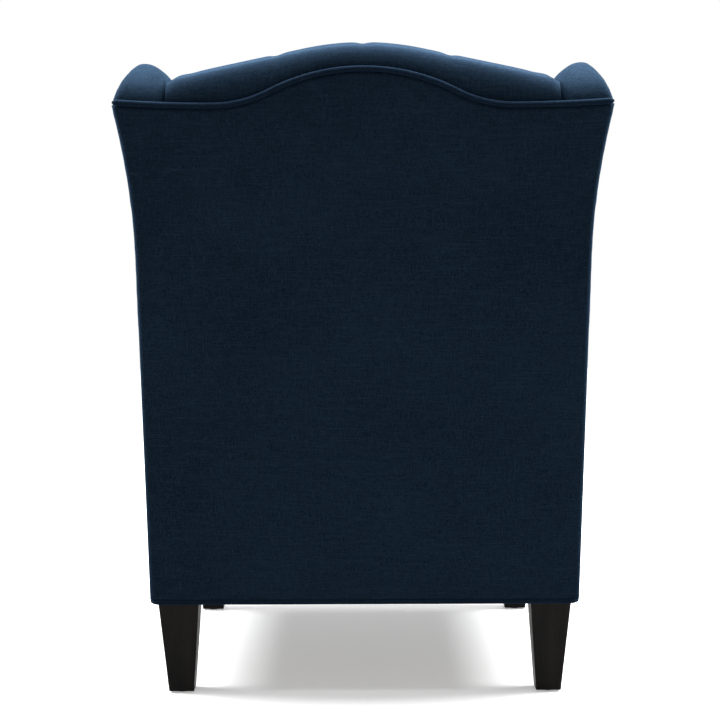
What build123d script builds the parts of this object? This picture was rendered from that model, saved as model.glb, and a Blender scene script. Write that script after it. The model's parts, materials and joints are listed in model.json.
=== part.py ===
from build123d import *
import os
from math import atan2, cos, degrees, hypot, pi, radians, sin, sqrt, tan

os.makedirs("parts", exist_ok=True)

# Push-back wing recliner. Millimetres: +Z up, the chair faces -Y, the sitter's left is +X.

# Whole chair
overall_depth = 830        # arm fronts to the piping on the crest
base_height = 146          # floor to the underside of the upholstered body
half_width_low = 341.5     # outside of the body at its underside
side_lean = 0.45           # degrees that each side leans outwards
wing_flare = 26            # extra half width where the wings meet the crest piping
flare_start = 690          # height where the flare begins
arm_height = 604
rake = 9.0                 # degrees that the rear face leans back

# Crest of the back, seen from behind
crest_height = 971         # piping at the middle
valley_drop = 53           # down to the lowest piping, beside the hump
valley_x = 225
corner_drop = 47.5         # down to the piping at the wings
hump_share = 0.62          # share of the hump's fall that is convex
roll_height = 38           # padded roll above the piping, middle
roll_hump_x = 90           # half width of the roll's round top
roll_fall = 11.7           # degrees that it falls from there to the wings
roll_rear_round = 30
roll_front_round = 44
welt_radius = 4.5
welt_sink = 2.0            # welt centre inside the rear face

# Reclining back
pivot_height = 430
hinge_round = 54           # radius of the back's lower end round its pivot
panel_thickness = 8        # boards covered with cloth
lip_angle = 48             # degrees of the rear panel rolled under the lower end
pad_depth = 150            # front of the back pad from the rear face
pad_clearance = 4          # back pad above the seat cushion
lumbar_bulge = 42
lumbar_rise = 110          # up the slope from the pivot to the fullest point
lumbar_span = 260
post_width = 31
frame_thickness = 32
back_rail_width = 55
crest_rail_width = 75
strap_width = 50
strap_thickness = 2
back_strap_count = 4

# Wings
wing_inner = 296           # half distance between the wings' inner faces
wing_reach = 279           # wing front before the rear face at the corner
wing_upright = 76          # straight part of the wing front, above the arm
wing_sweep = 8             # lean of the wing front above that
wing_shoulder_drop = 111.5
wing_rise = 69.5           # wing top above the corner
wing_top_reach = 146
wing_rear_fall = 61        # degrees that the top falls towards the piping
wing_peak_x = 342
wing_inner_drop = 36       # crown down to the inner face
wing_outer_bow = 5         # crown arcs out from their chords
wing_inner_bow = 12
wing_edge_round = 20
wing_board = 18
wing_cover = 20            # padding round the wing board

# Arms and base
arm_inner = 270            # half distance between the arms
arm_round = 34
arm_front_thickness = 20
arm_front_round = 7
pad_drop = 42              # arm pad above its plywood
seat_drop = 80             # back pivot down to the seat well
ply = 18
ply_inner = 312
rail_height = 75
cross_rail_width = 40
mid_rail_gap = 11.4        # middle plate screw to the middle cross rail
rear_rail_gap = 12

# Legs
leg_top = 64
leg_bottom = 40
leg_x = 296
leg_foot_x = 294
leg_front_inset = 71       # leg middles from the front and rear faces
leg_rear_inset = 34
glide_height = 3
glide_radius = 11
glide_stem_radius = 2.5
glide_stem = 12
leg_bolt_radius = 4
leg_bolt_in_leg = 40
leg_bolt_in_rail = 50

# Seat
seat_half_width = 264
seat_inset = 10
seat_rear_gap = 22
seat_thickness = 120       # at the cushion's sides
seat_crown = 16            # middle of the cushion above that
seat_dome = 2000           # radius of its crowned top
seat_round = 28
seat_frame_half = 228
seat_rail_width = 40
seat_rail_height = 28
seat_frame_setback = 48
seat_strap_count = 6

# Recliner mechanism: flat steel in layers from the base plates inwards
steel = 4
layer_gap = 2
pin_radius = 5
running_gap = 0.1
link_width = 22
plate_width = 26
rear_arm = 115             # back pivot down to the seat's rear pin
hanger_y = -130
hanger_drop = 95           # back pivot down to the hanger pivot
ear_width = 44
flange_width = 54
bracket_rise = 190
ottoman_inset = 153
ottoman_drop = 140
swing_length = 150
swing_angle = 240          # degrees from forward, upwards
carrier_inset = 70         # footrest bracket's upper pin
carrier_drop = 168
swing_spacing = 60
crank_throw = 42
crank_lead = 42.5          # degrees from the carrier bar's line
screw_radius = 2.2
screw_head = 4.5
screw_grip = 18
bolt_radius = 4
bolt_head = 7
bolt_grip = 23
bolt_places = (66, 162)    # up the slope from the pad's lower edge
bracket_foot = 39

# Footrest
footrest_half_width = 262
footrest_lift = 9          # above the body's underside
footrest_gap = 5           # under the seat
footrest_board = 14
footrest_pad = 34
footrest_inset = 51
footrest_round = 14

# Tufting of the inside back
button_radius = 12
button_sink = 6
button_proud = 3
tuft_column = 132
tuft_row = 85
tuft_drop = 69.5           # first row below the piping's top
tuft_rows = 4

# Clearances
body_gap = 5               # between upholstered pieces that move apart
cloth_gap = 1              # between upholstered pieces that stay together
cradle_gap = 2             # round the back's rolled lower end

# Places that follow from the sizes
lean_s, lean_c, lean_t = sin(radians(rake)), cos(radians(rake)), tan(radians(rake))
steepest = 2 * atan2(valley_drop / lean_c, valley_x)
welt_lift = welt_radius / cos(steepest)
welt_proud = welt_radius + welt_lift * lean_s - welt_sink * lean_c
outer_round = hinge_round + panel_thickness
slab_front = panel_thickness + 2 * hinge_round
arm_rear = slab_front + body_gap
origin_z = pivot_height - outer_round * lean_s
front_y = -overall_depth / 2
valley_height = crest_height - valley_drop
corner_height = crest_height - corner_drop
wing_top_height = corner_height + wing_rise
seat_well_height = pivot_height - seat_drop
seat_base = seat_well_height + strap_thickness
pad_bottom_height = seat_base + seat_thickness + pad_clearance
hanger_height = pivot_height - hanger_drop
ottoman_pivot_y, ottoman_pivot_height = front_y + ottoman_inset, pivot_height - ottoman_drop
carrier_y, carrier_height = front_y + carrier_inset, pivot_height - carrier_drop
seat_front_y = front_y + seat_inset
footrest_back_y = front_y + footrest_inset
footrest_low = base_height + footrest_lift
footrest_height = seat_well_height - footrest_gap - footrest_low
leg_front_y = front_y + leg_front_inset


def rear_y(z):
    """Rear face of the chair at height z."""
    return overall_depth / 2 - welt_proud - (crest_height - z) * lean_t


origin_y = rear_y(origin_z)
pivot_y = origin_y - outer_round * lean_c
back_plane = Plane(origin=(0, origin_y, origin_z), x_dir=(1, 0, 0), z_dir=(0, -lean_c, lean_s))
cradle_round = outer_round + cradle_gap
seat_rear_y = pivot_y - hinge_round - seat_rear_gap
leg_rear_y = rear_y(base_height) - leg_rear_inset
screw_front_y, screw_rear_y = hanger_y, seat_rear_y - cross_rail_width
screw_mid_y = (screw_front_y + screw_rear_y) / 2
mid_rail_y = screw_mid_y + mid_rail_gap
wing_front_y = rear_y(corner_height) - wing_reach
wing_top_y = rear_y(corner_height) - wing_top_reach


def side_point(d, v):
    """(Y, Z) of a point d in front of the rear face and v up its slope from the pivot."""
    return (origin_y + v * lean_s - d * lean_c, origin_z + v * lean_c + d * lean_s)


def slope(z, d=0):
    """Distance up the rear face's slope of height z, at depth d."""
    return (z - origin_z - d * lean_s) / lean_c


def half_width(z):
    """Outside of the body at height z: a straight lean, then a widening flare."""
    flare = max(0, (z - flare_start) / (corner_height - flare_start)) ** 2
    return half_width_low + (z - base_height) * tan(radians(side_lean)) + wing_flare * flare


def prism_x(face, x0, x1):
    """A (Y, Z) outline carried across the chair."""
    return extrude(Plane.YZ.offset(x0) * face, amount=x1 - x0)


def prism_y(face, y0, y1):
    """An (X, Z) outline carried from y0 back to y1."""
    return extrude(Plane.XZ.offset(-y1) * face, amount=y1 - y0)


def prism_back(face, d0, d1):
    """An outline on the rear face carried forwards from depth d0 to d1."""
    return extrude(back_plane.offset(d0) * face, amount=d1 - d0)


def polygon(*points):
    return make_face(Polyline(*points, close=True))


def box(x0, x1, y0, y1, z0, z1):
    return Pos((x0 + x1) / 2, (y0 + y1) / 2, (z0 + z1) / 2) * Box(x1 - x0, y1 - y0, z1 - z0)


def rod_x(y, z, radius, x0, x1):
    return Pos((x0 + x1) / 2, y, z) * Rot(0, 90, 0) * Cylinder(radius, x1 - x0)


def bar(start, end, width):
    """A flat link's outline with round ends, between two (Y, Z) points."""
    dy, dz = end[0] - start[0], end[1] - start[1]
    middle = Pos((start[0] + end[0]) / 2, (start[1] + end[1]) / 2)
    return middle * Rot(0, 0, degrees(atan2(dz, dy))) * SlotCenterToCenter(hypot(dy, dz), width)


def other_side(shape):
    return mirror(shape, about=Plane.YZ)


def save(name, *shapes):
    export_step(shapes[0] if len(shapes) == 1 else Compound(children=list(shapes)), f"parts/{name}.step")


def save_pair(name, shape):
    save(f"{name}_left", shape)
    save(f"{name}_right", other_side(shape))


def side_edges(place, z0, z1):
    """The body's outer side from z0 to z1, straight and then flared; place maps (x, z)."""
    middle = (flare_start + z1) / 2
    return [
        Line(place(half_width(z0), z0), place(half_width(flare_start), flare_start)),
        ThreePointArc(
            place(half_width(flare_start), flare_start),
            place(half_width(middle), middle),
            place(half_width(z1), z1),
        ),
    ]


def on_slope(x, z):
    return (x, slope(z))


def as_drawn(x, z):
    return (x, z)


def ogee(top, low, low_x, end, end_x):
    """Half a camel-back line: convex hump, concave fall to low_x, gentle bow to end_x."""
    fall = top - low
    turn_x, turn_v = hump_share * low_x, top - hump_share * fall
    hump = hump_share * (low_x**2 + fall**2) / (2 * fall)
    dip = (1 - hump_share) * (low_x**2 + fall**2) / (2 * fall)
    bow = ((end_x - low_x) ** 2 + (end - low) ** 2) / (2 * (end - low))
    mid_hump = (turn_x / 2, top - hump + sqrt(hump**2 - (turn_x / 2) ** 2))
    mid_dip_x = (turn_x + low_x) / 2
    mid_dip = (mid_dip_x, low + dip - sqrt(dip**2 - (low_x - mid_dip_x) ** 2))
    mid_bow_x = (low_x + end_x) / 2
    mid_bow = (mid_bow_x, low + bow - (bow / abs(bow)) * sqrt(bow**2 - (mid_bow_x - low_x) ** 2))
    return [
        ThreePointArc((0, top), mid_hump, (turn_x, turn_v)),
        ThreePointArc((turn_x, turn_v), mid_dip, (low_x, low)),
        ThreePointArc((low_x, low), mid_bow, (end_x, end)),
    ]


def crest_line(rise=0):
    """Right half of the piping's line on the rear face, moved up the slope by rise."""
    return ogee(
        slope(crest_height) + rise,
        slope(valley_height) + rise,
        valley_x,
        slope(corner_height) + rise,
        half_width(corner_height),
    )


def mirrored(edges):
    return edges + [edge.mirror(Plane.YZ) for edge in edges]


def front_depth(v):
    """Front of the back pad from the rear face: a flat face with a lumbar swell."""
    reach = min(1, abs(v - lumbar_rise) / lumbar_span)
    return pad_depth + lumbar_bulge * cos(pi / 2 * reach) ** 2


# Legs: square tapers, drawn in more on the outside than the inside
def make_legs():
    solids = []
    glides = []
    bolts = []
    for y in (leg_front_y, leg_rear_y):
        head = Plane((leg_x, y, base_height)) * Rectangle(leg_top, leg_top)
        foot = Plane((leg_foot_x, y, glide_height)) * Rectangle(leg_bottom, leg_bottom)
        leg = loft([foot, head])
        glide = Pos(leg_foot_x, y, glide_height / 2) * Cylinder(glide_radius, glide_height)
        glide += Pos(leg_foot_x, y, glide_height + glide_stem / 2) * Cylinder(glide_stem_radius, glide_stem)
        bolt_length = leg_bolt_in_leg + leg_bolt_in_rail
        bolt_z = base_height - leg_bolt_in_leg + bolt_length / 2
        bolt = Pos(leg_x, y, bolt_z) * Cylinder(leg_bolt_radius, bolt_length)
        solids.append(leg - glide - bolt)
        glides += [glide, other_side(glide)]
        bolts += [bolt, other_side(bolt)]
    save_pair("leg_front", solids[0])
    save_pair("leg_rear", solids[1])
    save("foot_glides", *glides)
    save("leg_bolts", *bolts)
    return bolts


def side_region(top):
    """Side view of one fixed side: a cradle round the back's lower end, and the arm before it."""
    inside = panel_thickness + cloth_gap
    rear_v = -sqrt(cradle_round**2 - (outer_round - inside) ** 2)
    front_v = -sqrt(cradle_round**2 - (arm_rear - outer_round) ** 2)
    low_rear = side_point(inside, slope(base_height, inside))
    cradle = [
        side_point(inside, rear_v),
        side_point(outer_round, -cradle_round),
        side_point(arm_rear, front_v),
    ]
    high_rear = side_point(arm_rear, slope(top, arm_rear))
    return make_face(
        [
            Line((front_inside, base_height), low_rear),
            Line(low_rear, cradle[0]),
            ThreePointArc(*cradle),
            Line(cradle[2], high_rear),
            Line(high_rear, (front_inside, top)),
            Line((front_inside, top), (front_inside, base_height)),
        ]
    )


front_inside = front_y + arm_front_thickness + cloth_gap
ply_top = arm_height - pad_drop
rail_rear_y = rear_y(base_height) - panel_thickness - rear_rail_gap - cloth_gap
ply_outer = ply_inner + ply


def arm_outline(z0):
    """The arm from the front: upright inside, leaning outside, rounded top."""
    face = polygon(
        (arm_inner, z0),
        (half_width(z0), z0),
        (half_width(arm_height), arm_height),
        (arm_inner, arm_height),
    )
    return fillet(face.vertices().sort_by(Axis.Y)[-2:], arm_round)


# Fixed sides: hardwood rails, plywood, padding and cloth-covered panels
def make_base(bolts):
    rail = box(arm_inner, ply_inner, front_inside, rail_rear_y, base_height, base_height + rail_height)
    plywood = prism_x(side_region(ply_top), ply_inner, ply_outer)
    lean = polygon(
        (ply_outer, base_height),
        (half_width(base_height), base_height),
        (half_width(ply_top), ply_top),
        (ply_outer, ply_top),
    )
    outside = prism_x(side_region(ply_top), ply_outer, half_width(arm_height))
    outside &= prism_y(lean, -overall_depth, overall_depth)
    pad = prism_x(side_region(arm_height), arm_inner, half_width(arm_height) + cloth_gap)
    pad &= prism_y(arm_outline(base_height + rail_height), -overall_depth, overall_depth)
    outer = half_width(arm_height) + 2 * cloth_gap
    pad -= box(ply_inner, outer, -overall_depth, overall_depth, base_height, ply_top)
    pad -= rail
    front = prism_y(arm_outline(base_height), front_y, front_y + arm_front_thickness)
    rim = front.faces().sort_by(Axis.Y)[0].edges()
    front = fillet(rim, arm_front_round)
    screws = make_plate_screws()
    for bolt in bolts:
        rail -= bolt
    for screw in screws:
        rail -= screw
    save_pair("side_rail", rail)
    save_pair("side_frame", plywood)
    save_pair("outside_arm", outside)
    save_pair("arm_pad", pad)
    save_pair("arm_front", front)
    save("base_plate_screws", *screws, *[other_side(screw) for screw in screws])
    rail_top = base_height + rail_height
    mid = box(-plate_inner, plate_inner, mid_rail_y, mid_rail_y + cross_rail_width, base_height, rail_top)
    rear = box(-arm_inner, arm_inner, rail_rear_y - cross_rail_width, rail_rear_y, base_height, rail_top)
    save("base_cross_rails", mid, rear)


def make_rear_lower():
    """Fixed rear panel under the reclining back, over a welt along the bottom edge."""
    low_z = base_height + 2 * welt_radius
    top_v = -sqrt((outer_round + cloth_gap) ** 2 - (outer_round - panel_thickness) ** 2)
    top_z = side_point(0, top_v)[1]
    low_x, top_x = half_width(low_z), half_width(top_z)
    low_v = slope(low_z)
    panel = polygon((-low_x, low_v), (low_x, low_v), (top_x, top_v), (-top_x, top_v))
    save("rear_lower_panel", prism_back(panel, 0, panel_thickness))
    welt_y, welt_z = side_point(welt_sink, slope(low_z) - welt_radius)
    save("rear_bottom_welt", rod_x(welt_y, welt_z, welt_radius, -low_x, low_x))


# Reclining back
def make_rear_panel():
    """Camel-back rear board, rolled forwards under the back's lower end."""
    sides = side_edges(on_slope, origin_z, corner_height)
    base_line = Line((-half_width(origin_z), 0), (half_width(origin_z), 0))
    board = prism_back(make_face(mirrored(sides + crest_line()) + [base_line]), 0, panel_thickness)
    start = radians(-rake)
    stop = start - radians(lip_angle)
    middle = (start + stop) / 2

    def on_round(radius, angle):
        return (pivot_y + radius * cos(angle), pivot_height + radius * sin(angle))

    lip = make_face(
        [
            ThreePointArc(*[on_round(outer_round, a) for a in (start, middle, stop)]),
            Line(on_round(outer_round, stop), on_round(hinge_round, stop)),
            ThreePointArc(*[on_round(hinge_round, a) for a in (stop, middle, start)]),
            Line(on_round(hinge_round, start), on_round(outer_round, start)),
        ]
    )
    lip_half = half_width(pivot_height - outer_round)
    panel = board + prism_x(lip, -lip_half, lip_half)
    save("outside_back_panel", panel)
    path = Wire(mirrored(crest_line(welt_lift)))
    path = back_plane.offset(welt_sink) * path
    section = Plane(path.position_at(0), z_dir=path.tangent_at(0)) * Circle(welt_radius)
    save("crest_welt", sweep(section, path=path))


def wing_profile():
    """Side view of a wing: round lower end, upright front above the arm, swept top."""
    rear_top = side_point(panel_thickness + cloth_gap, slope(corner_height) - cloth_gap)
    rear_low = side_point(panel_thickness + cloth_gap, 0)
    round_radius = hinge_round - cloth_gap
    low = side_point(outer_round, -round_radius)
    front_low = side_point(outer_round + round_radius, 0)
    shelf = arm_height + body_gap
    front_shelf = side_point(outer_round + round_radius, slope(shelf, outer_round + round_radius))
    nose = (wing_front_y, shelf)
    chin = (wing_front_y, shelf + wing_upright)
    shoulder = (wing_front_y + wing_sweep, wing_top_height - wing_shoulder_drop)
    fall = radians(wing_rear_fall)
    return make_face(
        [
            Line(rear_top, rear_low),
            ThreePointArc(rear_low, low, front_low),
            Line(front_low, front_shelf),
            Line(front_shelf, nose),
            Line(nose, chin),
            Spline(
                chin,
                shoulder,
                (wing_top_y, wing_top_height),
                rear_top,
                tangents=[(0, 1), (cos(fall), -sin(fall))],
            ),
        ]
    )


def bowed(start, end, bow):
    """Middle of a crown arc that bows out from the chord between two points."""
    dx, dz = end[0] - start[0], end[1] - start[1]
    share = bow / hypot(dx, dz)
    return ((start[0] + end[0]) / 2 + share * dz, (start[1] + end[1]) / 2 - share * dx)


def wing_band():
    """Front view of a wing: upright inside, flared outside, crowned above the piping."""
    low = pivot_height - outer_round
    corner = (half_width(corner_height), corner_height)
    peak = (wing_peak_x, wing_top_height)
    inside = (wing_inner, wing_top_height - wing_inner_drop)
    return side_edges(as_drawn, low, corner_height) + [
        ThreePointArc(corner, bowed(corner, peak, wing_outer_bow), peak),
        ThreePointArc(peak, bowed(peak, inside, wing_inner_bow), inside),
        Line(inside, (wing_inner, low)),
        Line((wing_inner, low), (half_width(low), low)),
    ]


def wing_core():
    """Plywood inside a wing, set back from the cloth by the padding."""
    rear, front = panel_thickness + wing_cover, slab_front - wing_cover
    shelf = arm_height + body_gap + wing_cover
    crown = wing_top_height - 2 * wing_cover
    nose_y = wing_front_y + wing_cover
    return polygon(
        side_point(rear, 0),
        side_point(front, 0),
        side_point(front, slope(shelf, front)),
        (nose_y, shelf),
        (nose_y, (shelf + crown) / 2),
        (wing_top_y - wing_cover, crown),
        (wing_top_y + wing_cover, crown),
        side_point(rear, slope(corner_height) - 2 * wing_cover),
    )


def on_wing_front(edge):
    """True for the upright and swept edges of a wing's outline, above the arm."""
    middle = edge.center()
    clear = middle.Z > arm_height + wing_edge_round and edge.length > wing_upright / 2
    return clear and middle.Y < wing_top_y + wing_edge_round


def make_wings():
    wing = prism_x(wing_profile(), wing_inner, half_width(corner_height) + wing_outer_bow)
    inner_edges = wing.edges().group_by(Axis.X)[0]
    rounded = [e for e in inner_edges if on_wing_front(e)]
    wing = fillet(rounded, wing_edge_round)
    wing &= prism_y(make_face(wing_band()), -overall_depth, overall_depth)
    board_inner = wing_inner + wing_cover
    board = prism_x(wing_core(), board_inner, board_inner + wing_board)
    save_pair("wing_pad", wing - board)
    save_pair("wing_frame", board)


def make_back_frame():
    """Posts, rails and webbing behind the back pad."""
    inside = panel_thickness + cloth_gap / 2
    front = inside + frame_thickness
    low_v = slope(pad_bottom_height) - back_rail_width / 2
    post_top = slope(valley_height) - 3 * welt_radius
    post_inner = swing_layer[1]
    post_outer = post_inner + post_width
    post = polygon((post_inner, low_v), (post_outer, low_v), (post_outer, post_top), (post_inner, post_top))
    post = prism_back(post, inside, front)
    rail_end = swing_layer[0]
    rail = polygon(
        (-rail_end, low_v),
        (rail_end, low_v),
        (rail_end, low_v + back_rail_width),
        (-rail_end, low_v + back_rail_width),
    )
    crest_low = post_top - crest_rail_width
    crest = ogee(
        slope(crest_height) - 2 * welt_radius,
        post_top,
        valley_x,
        post_top + cloth_gap,
        post_inner,
    )
    crest += [Line((post_inner, post_top + cloth_gap), (post_inner, crest_low))]
    crest_face = make_face(mirrored(crest) + [Line((-post_inner, crest_low), (post_inner, crest_low))])
    first = low_v + back_rail_width
    pitch = (crest_low - first) / back_strap_count
    straps = []
    for i in range(back_strap_count):
        v = first + (i + 0.5) * pitch - strap_width / 2
        strap = polygon(
            (-post_outer, v),
            (post_outer, v),
            (post_outer, v + strap_width),
            (-post_outer, v + strap_width),
        )
        straps.append(prism_back(strap, front, front + strap_thickness))
    bolts = make_bracket_bolts()
    for bolt in bolts:
        post -= bolt
    save_pair("back_post", post)
    save("crest_rail", prism_back(crest_face, inside, front))
    save("back_bottom_rail", prism_back(rail, inside, front))
    save("back_webbing", *straps)
    save("bracket_bolts", *bolts, *[other_side(bolt) for bolt in bolts])
    return front + strap_thickness, crest_low


def roll_line(top_v, edge, low_v):
    """Right half of the pad's outline: a round hump, a straight fall to the wing, the side."""
    fall = radians(roll_fall)
    radius = roll_hump_x / sin(fall)
    turn = (roll_hump_x, top_v - radius * (1 - cos(fall)))
    middle = (radius * sin(fall / 2), top_v - radius * (1 - cos(fall / 2)))
    end = (edge, turn[1] - (edge - roll_hump_x) * tan(fall))
    return [ThreePointArc((0, top_v), middle, turn), Line(turn, end), Line(end, (edge, low_v))]


def crest_edges(solid, depth):
    """Edges along the top of the pad at one depth from the rear face."""
    high = [e for e in solid.edges() if e.center().Z > corner_height]
    return [e for e in high if abs(rear_depth(e) - depth) < cloth_gap]


def make_back_pad(frame_front, crest_low):
    """Tufted inside back: a flat pad with a lumbar swell, rolled over the crest to the piping."""
    edge = wing_inner - cloth_gap
    low_v = slope(pad_bottom_height, pad_depth)
    top_v = slope(crest_height) + roll_height
    face = make_face(mirrored(roll_line(top_v, edge, low_v)) + [Line((-edge, low_v), (edge, low_v))])
    inside = panel_thickness + cloth_gap
    block = prism_back(face, inside, pad_depth)
    block = fillet(crest_edges(block, inside), roll_rear_round)
    block = fillet(crest_edges(block, pad_depth), roll_front_round)
    block += make_lumbar(edge, low_v, frame_front)
    hollow = polygon((-edge, 0), (edge, 0), (edge, crest_low), (-edge, crest_low))
    block -= prism_back(hollow, 0, frame_front + cloth_gap)
    behind = ogee(
        slope(crest_height),
        slope(valley_height) + cloth_gap,
        valley_x,
        slope(valley_height) + 2 * cloth_gap,
        edge,
    )
    behind += [Line((edge, slope(valley_height) + 2 * cloth_gap), (edge, 0))]
    behind_face = make_face(mirrored(behind) + [Line((-edge, 0), (edge, 0))])
    block -= prism_back(behind_face, 0, frame_front + cloth_gap)
    notch_x = arm_inner - body_gap
    notch = polygon(
        side_point(slab_front - cloth_gap, 0),
        side_point(slab_front - cloth_gap, slope(arm_height + body_gap, slab_front)),
        (origin_y - overall_depth / 2, arm_height + body_gap),
        (origin_y - overall_depth / 2, base_height),
    )
    notch = prism_x(notch, notch_x, wing_inner)
    block = block - notch - other_side(notch)
    buttons = make_buttons()
    for button in buttons:
        block -= button
    save("back_pad", block)
    save("tuft_buttons", *buttons)


def rear_depth(edge):
    """How far an edge's middle lies in front of the rear face."""
    return back_plane.to_local_coords(edge.center()).Z


def make_lumbar(edge, low_v, frame_front):
    """The swell as a side profile, carried across the pad."""
    steps = 6
    top_v = lumbar_rise + lumbar_span
    points = []
    for i in range(steps + 1):
        v = low_v + (top_v - low_v) * i / steps
        points.append(side_point(front_depth(v), v))
    start, end = side_point(frame_front, low_v), side_point(frame_front, top_v)
    face = make_face([Spline(*points), Line(points[-1], end), Line(end, start), Line(start, points[0])])
    return prism_x(face, -edge, edge)


def make_buttons():
    """Staggered buttons sunk in the pad's face."""
    buttons = []
    for row in range(tuft_rows):
        v = slope(crest_height) - tuft_drop - row * tuft_row
        depth = front_depth(v)
        places = (-1, 0, 1) if row % 2 == 0 else (-1.5, -0.5, 0.5, 1.5)
        for place in places:
            spot = Pos(place * tuft_column, v, 0) * Circle(button_radius)
            buttons.append(prism_back(spot, depth - button_sink, depth + button_proud))
    return buttons


# Steel layers, each a pair of |X| limits, from the side rail inwards
def layer(index):
    outer = arm_inner - index * (steel + layer_gap)
    return outer - steel, outer


base_layer, swing_layer, seat_layer, crank_layer, carrier_layer, foot_layer = [layer(i) for i in range(6)]

# Pivot points of one side, (Y, Z)
back_pivot = (pivot_y, pivot_height)
seat_rear_pin = (pivot_y, pivot_height - rear_arm)
hanger_pivot = (hanger_y, hanger_height)
seat_front_pin = (hanger_y, hanger_height - rear_arm)
swing_pivot = (ottoman_pivot_y, ottoman_pivot_height)


def step_from(point, length, angle):
    """A point at a length and an angle from another; angles turn from forwards to up."""
    return (point[0] - length * cos(radians(angle)), point[1] + length * sin(radians(angle)))


carrier_pin = (carrier_y, carrier_height)
swing_pin = step_from(swing_pivot, swing_length, swing_angle)
carrier_angle = degrees(atan2(carrier_pin[1] - swing_pin[1], swing_pin[0] - carrier_pin[0]))
crank_pivot = step_from(swing_pivot, swing_spacing, carrier_angle)
crank_pin = step_from(swing_pin, swing_spacing, carrier_angle)
crank_end = step_from(crank_pin, crank_throw, carrier_angle + 180 + crank_lead)
tie_pin = step_from(carrier_pin, crank_throw, carrier_angle + 180 + crank_lead)
plate_inner, plate_outer = base_layer
rail_mid_z = base_height + rail_height / 2


def stud(point, x0, x1):
    return rod_x(*point, pin_radius, x0, x1)


def hole(point):
    """Running hole for a stud of another body."""
    return rod_x(*point, pin_radius + running_gap, 0, arm_inner)


def link(points, width, limits):
    """Flat steel through two or more points, with round ends."""
    face = Sketch()
    for start, end in zip(points, points[1:]):
        face += bar(start, end, width)
    return prism_x(face, *limits)


def make_plate_screws():
    """Round-headed screws that hold a base plate to its rail."""
    screws = []
    for y in (screw_front_y, screw_mid_y, screw_rear_y):
        head = rod_x(y, rail_mid_z, screw_head, plate_inner - layer_gap / 2, plate_inner)
        screws.append(head + rod_x(y, rail_mid_z, screw_radius, plate_inner, arm_inner + screw_grip))
    return screws


def make_base_plate():
    """Base plate with a front post for the hanger and a rear ear for the back."""
    low_front = (hanger_y, rail_mid_z)
    low_rear = (screw_rear_y, rail_mid_z)
    plate = link([hanger_pivot, low_front, low_rear], ear_width, base_layer)
    plate += link([low_rear, back_pivot], ear_width, base_layer)
    for screw in make_plate_screws():
        plate -= screw
    pins = []
    for point in (back_pivot, hanger_pivot):
        pin = stud(point, swing_layer[0], plate_outer)
        plate -= pin
        pins += [pin, other_side(pin)]
    save_pair("base_plate", plate)
    save("pivot_pins", *pins)


def make_back_bracket():
    """Bracket bolted to the back post, with an arm down to the seat's rear pin."""
    depth = panel_thickness + frame_thickness / 2
    low = side_point(depth, slope(pad_bottom_height) - bracket_foot)
    high = side_point(depth, slope(pad_bottom_height) + bracket_rise)
    bracket = link([high, low, back_pivot, seat_rear_pin], plate_width, swing_layer)
    bracket -= hole(back_pivot)
    bracket -= hole(seat_rear_pin)
    for bolt in make_bracket_bolts():
        bracket -= bolt
    save_pair("back_bracket", bracket)


def make_bracket_bolts():
    """Two bolts through the bracket into the post."""
    depth = panel_thickness + frame_thickness / 2
    bolts = []
    for place in bolt_places:
        y, z = side_point(depth, slope(pad_bottom_height) + place)
        bolt = rod_x(y, z, bolt_radius, swing_layer[0], swing_layer[1] + bolt_grip)
        bolts.append(bolt + rod_x(y, z, bolt_head, swing_layer[0] - steel, swing_layer[0]))
    return bolts


def make_seat_mechanism():
    """Seat side plate with a flange under the seat frame, and its studs."""
    top_z = seat_well_height - seat_rail_height
    plate = link([seat_rear_pin, crank_pivot], plate_width, seat_layer)
    bar_z = (seat_rear_pin[1] + crank_pivot[1]) / 2
    plate += link([swing_pivot, (swing_pivot[0], bar_z)], plate_width, seat_layer)
    plate += link([seat_front_pin, (seat_front_pin[0], bar_z)], plate_width, seat_layer)
    flange_front = swing_pivot[0] - plate_width
    flange_rear = seat_rear_y - seat_frame_setback
    inner = seat_layer[1] - flange_width
    plate += box(inner, seat_layer[1], flange_front, flange_rear, top_z - steel, top_z)
    for point in (seat_rear_pin, seat_front_pin):
        plate += stud(point, seat_layer[0], swing_layer[1])
    for point in (swing_pivot, crank_pivot):
        plate += stud(point, crank_layer[0], seat_layer[1])
    save_pair("seat_plate", plate)
    hanger = link([hanger_pivot, seat_front_pin], plate_width, swing_layer)
    hanger = hanger - hole(hanger_pivot) - hole(seat_front_pin)
    save("hanger_links", hanger, other_side(hanger))


def make_footrest_links():
    """Double parallelogram: two swing links, a carrier bar and a tie bar on each side."""
    swing = link([swing_pivot, swing_pin], link_width, crank_layer) - hole(swing_pivot)
    swing += stud(swing_pin, carrier_layer[0], crank_layer[1])
    crank = link([crank_pivot, crank_pin, crank_end], link_width, crank_layer) - hole(crank_pivot)
    crank += stud(crank_pin, carrier_layer[0], crank_layer[1])
    crank += stud(crank_end, carrier_layer[0], crank_layer[1])
    carrier = link([swing_pin, carrier_pin], link_width, carrier_layer)
    carrier = carrier - hole(swing_pin) - hole(crank_pin)
    carrier += stud(carrier_pin, foot_layer[0], carrier_layer[1])
    tie = link([crank_end, tie_pin], link_width, carrier_layer) - hole(crank_end)
    tie += stud(tie_pin, foot_layer[0], carrier_layer[1])
    save_pair("swing_link", swing)
    save_pair("crank_link", crank)
    save_pair("carrier_bar", carrier)
    save_pair("tie_bar", tie)


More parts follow.
